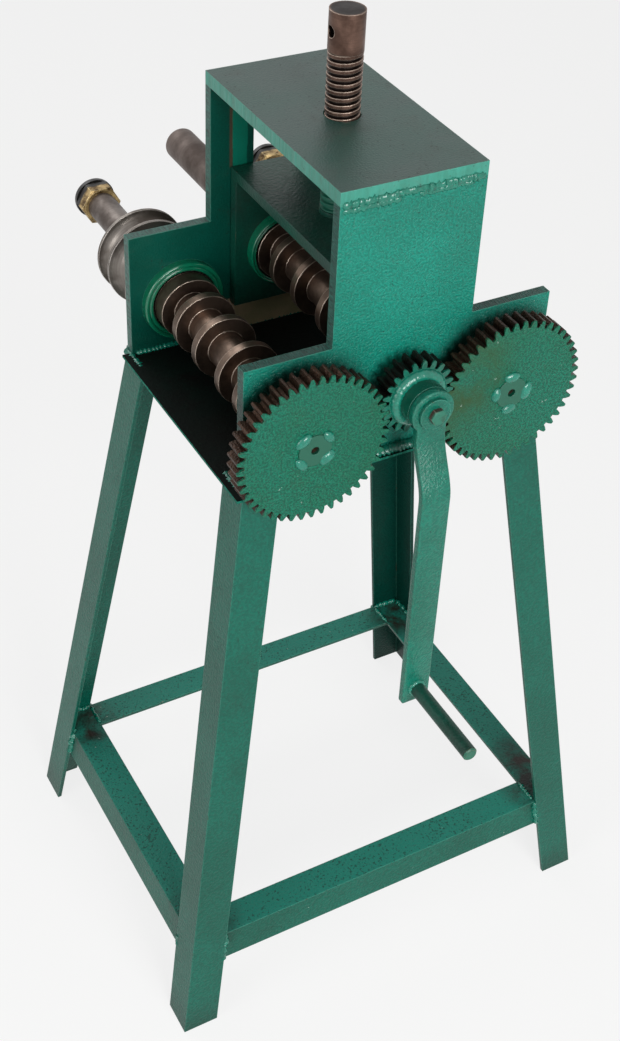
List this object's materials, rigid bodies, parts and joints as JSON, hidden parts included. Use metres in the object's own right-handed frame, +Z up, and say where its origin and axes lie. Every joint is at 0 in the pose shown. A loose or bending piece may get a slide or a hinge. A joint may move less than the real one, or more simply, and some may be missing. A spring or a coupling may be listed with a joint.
{
  "type": "manual pipe bender",
  "caption": "Hand-cranked three-roll pipe bender on an angle-iron stand: geared grooved rollers below, a middle roller on a carriage pressed down by a screw.",
  "frame": {"origin": "on the floor, under the middle of the machine's bounding box", "axes": "+Z up from the floor, +Y from the crank towards the back, +X to the right seen from the crank"},
  "size_m": [0.476, 0.606, 0.9633],
  "materials": {
    "enamel": "brushed hammer-green enamel, semi-gloss, worn at edges",
    "oily_steel": "turned steel with a brown oil film",
    "screw_steel": "turned steel, lightly rusted",
    "grey_steel": "drawn steel tube, dull",
    "bearing_steel": "ground bearing steel",
    "yellow_zinc": "yellow zinc plate",
    "nylon": "black nylon",
    "bronze": "plain bearing bronze"
  },
  "bodies": {
    "frame": {"leg_front_left": "enamel", "leg_front_right": "enamel", "leg_back_left": "enamel", "leg_back_right": "enamel", "rail_front": "enamel", "rail_back": "enamel", "rail_left": "enamel", "rail_right": "enamel", "deck_plate": "enamel", "front_plate": "enamel", "rear_plate": "enamel", "top_plate": "enamel", "guide_bars": "enamel", "screw_nut": "enamel", "front_housings": "enamel", "rear_housings": "enamel", "outer_races": "bearing_steel", "pinion_axle": "bearing_steel", "axle_bolt": "screw_steel", "axle_washer": "enamel"},
    "left_drive": {"left_shaft": "oily_steel", "left_gear": "enamel", "left_roller": "oily_steel", "left_inner_races": "bearing_steel", "left_keys": "bearing_steel", "left_die": "oily_steel", "left_sleeve": "grey_steel", "left_lock_nut": "yellow_zinc", "left_nut_insert": "nylon"},
    "right_drive": {"right_shaft": "oily_steel", "right_gear": "enamel", "right_roller": "oily_steel", "right_inner_races": "bearing_steel", "right_keys": "bearing_steel", "right_die": "oily_steel", "right_sleeve": "grey_steel", "right_lock_nut": "yellow_zinc", "right_nut_insert": "nylon"},
    "left_ball_set": {"left_balls": "bearing_steel"},
    "right_ball_set": {"right_balls": "bearing_steel"},
    "carriage": {"carriage_top": "enamel", "carriage_front_cheek": "enamel", "carriage_rear_cheek": "enamel", "carriage_front_housing": "enamel", "carriage_rear_housing": "enamel", "carriage_outer_races": "bearing_steel", "thrust_washer": "enamel"},
    "middle_roll": {"middle_shaft": "oily_steel", "middle_roller": "oily_steel", "middle_inner_races": "bearing_steel", "middle_circlip": "bearing_steel"},
    "middle_ball_set": {"middle_balls": "bearing_steel"},
    "screw": {"press_screw": "screw_steel", "screw_collar": "bearing_steel", "collar_pin": "bearing_steel"},
    "crank": {"pinion": "enamel", "crank_hub": "enamel", "crank_bush": "bronze", "crank_arm": "enamel", "crank_handle": "enamel"}
  },
  "joints": [
    {"name": "left_spin", "type": "hinge", "parent": "frame", "child": "left_drive", "pos_m": [-0.096, 0, 0.662], "axis": [0, 1, 0], "continuous": true},
    {"name": "right_spin", "type": "hinge", "parent": "frame", "child": "right_drive", "pos_m": [0.096, 0, 0.662], "axis": [0, 1, 0], "continuous": true},
    {"name": "left_ball_roll", "type": "hinge", "parent": "frame", "child": "left_ball_set", "pos_m": [-0.096, 0, 0.662], "axis": [0, 1, 0], "continuous": true},
    {"name": "right_ball_roll", "type": "hinge", "parent": "frame", "child": "right_ball_set", "pos_m": [0.096, 0, 0.662], "axis": [0, 1, 0], "continuous": true},
    {"name": "crank_turn", "type": "hinge", "parent": "frame", "child": "crank", "pos_m": [0, 0, 0.68619], "axis": [0, 1, 0], "continuous": true},
    {"name": "carriage_slide", "type": "slide", "parent": "frame", "child": "carriage", "axis": [0, 0, 1], "range_m": [-0.026, 0.038]},
    {"name": "screw_turn", "type": "hinge", "parent": "carriage", "child": "screw", "pos_m": [0, -0.019, 0.8], "axis": [0, 0, 1], "range_deg": [-1562, 2282]},
    {"name": "middle_spin", "type": "hinge", "parent": "carriage", "child": "middle_roll", "pos_m": [0, 0, 0.701], "axis": [0, 1, 0], "continuous": true},
    {"name": "middle_ball_roll", "type": "hinge", "parent": "carriage", "child": "middle_ball_set", "pos_m": [0, 0, 0.701], "axis": [0, 1, 0], "continuous": true}
  ],
  "couplings": [
    {"joint": "right_spin", "follows": "left_spin", "ratio": 1},
    {"joint": "crank_turn", "follows": "left_spin", "ratio": -2.1429},
    {"joint": "left_ball_roll", "follows": "left_spin", "ratio": 0.39674},
    {"joint": "right_ball_roll", "follows": "left_spin", "ratio": 0.39674},
    {"joint": "middle_ball_roll", "follows": "middle_spin", "ratio": 0.39674},
    {"joint": "screw_turn", "follows": "carriage_slide", "rad_per_m": 1047.2}
  ]
}
